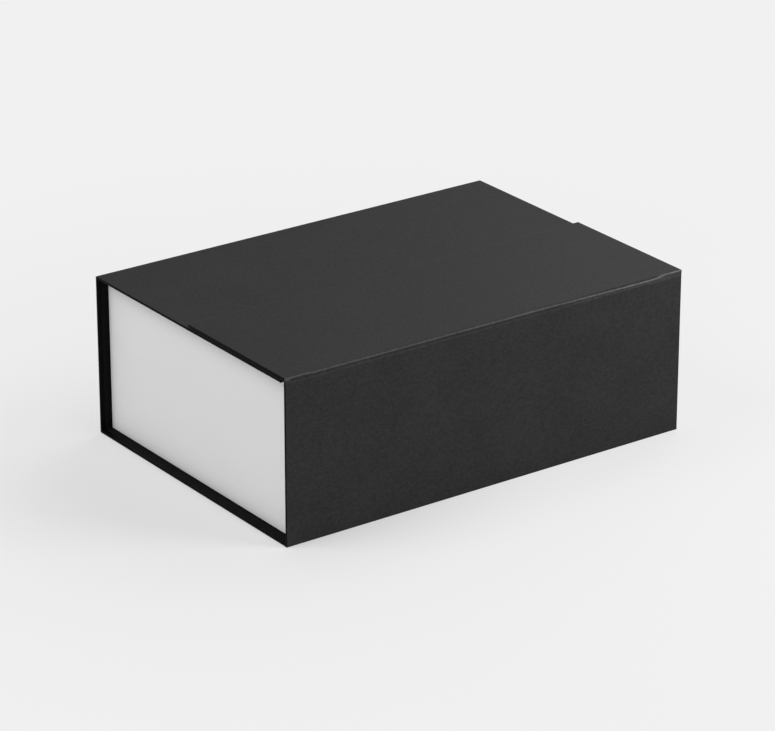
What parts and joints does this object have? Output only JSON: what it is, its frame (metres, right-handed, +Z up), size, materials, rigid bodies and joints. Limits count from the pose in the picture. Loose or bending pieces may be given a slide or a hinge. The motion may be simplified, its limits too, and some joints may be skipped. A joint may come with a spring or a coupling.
{
  "type": "sliding drawer gift box",
  "caption": "Rigid gift box: a white paper-covered drawer slides in a black wrap-round cover, whose magnetic closing flap lies over the lid and whose front panel folds down.",
  "frame": {"origin": "middle of the base's underside, which is the face the box stands on", "axes": "+X along the box towards the end that the picture hides, -Y is the front, where the closing flap is folded over, +Z up"},
  "size_m": [0.3, 0.21, 0.109],
  "materials": {
    "black_wrap_paper": "matt laminated",
    "black_liner_paper": "uncoated, dyed through",
    "grey_board": "raw recycled grey board",
    "white_wrap_paper": "matt coated",
    "white_lining_paper": "uncoated",
    "brown_stay_tape": "gummed kraft",
    "nickel_plated_magnet": "nickel plated",
    "steel_disc": "zinc plated, stamped"
  },
  "bodies": {
    "cover": {"base_board": "grey_board", "base_wrap_paper": "black_wrap_paper", "base_liner_paper": "black_liner_paper", "back_board": "grey_board", "back_wrap_paper": "black_wrap_paper", "back_liner_paper": "black_liner_paper", "lid_board": "grey_board", "lid_wrap_paper": "black_wrap_paper", "lid_liner_paper": "black_liner_paper", "lid_steel_discs": "steel_disc"},
    "front_panel": {"front_board": "grey_board", "front_wrap_paper": "black_wrap_paper", "front_liner_paper": "black_liner_paper"},
    "closing_flap": {"flap_board": "grey_board", "flap_wrap_paper": "black_wrap_paper", "flap_liner_paper": "black_liner_paper", "flap_magnets": "nickel_plated_magnet"},
    "drawer": {"drawer_floor_board": "grey_board", "drawer_front_wall_board": "grey_board", "drawer_back_wall_board": "grey_board", "drawer_left_end_board": "grey_board", "drawer_right_end_board": "grey_board", "drawer_corner_stays": "brown_stay_tape", "drawer_wrap_paper": "white_wrap_paper", "drawer_wall_lining": "white_lining_paper", "drawer_floor_lining": "white_lining_paper"}
  },
  "joints": [
    {"name": "drawer_slide", "type": "slide", "parent": "cover", "child": "drawer", "axis": [1, 0, 0], "range_m": [-0.25, 0.25]},
    {"name": "front_fold", "type": "hinge", "parent": "cover", "child": "front_panel", "pos_m": [0, -0.105, 0], "axis": [1, 0, 0], "range_deg": [0, 90]},
    {"name": "flap_fold", "type": "hinge", "parent": "front_panel", "child": "closing_flap", "pos_m": [0, -0.105, 0.109], "axis": [-1, 0, 0], "range_deg": [-250, 0]}
  ]
}
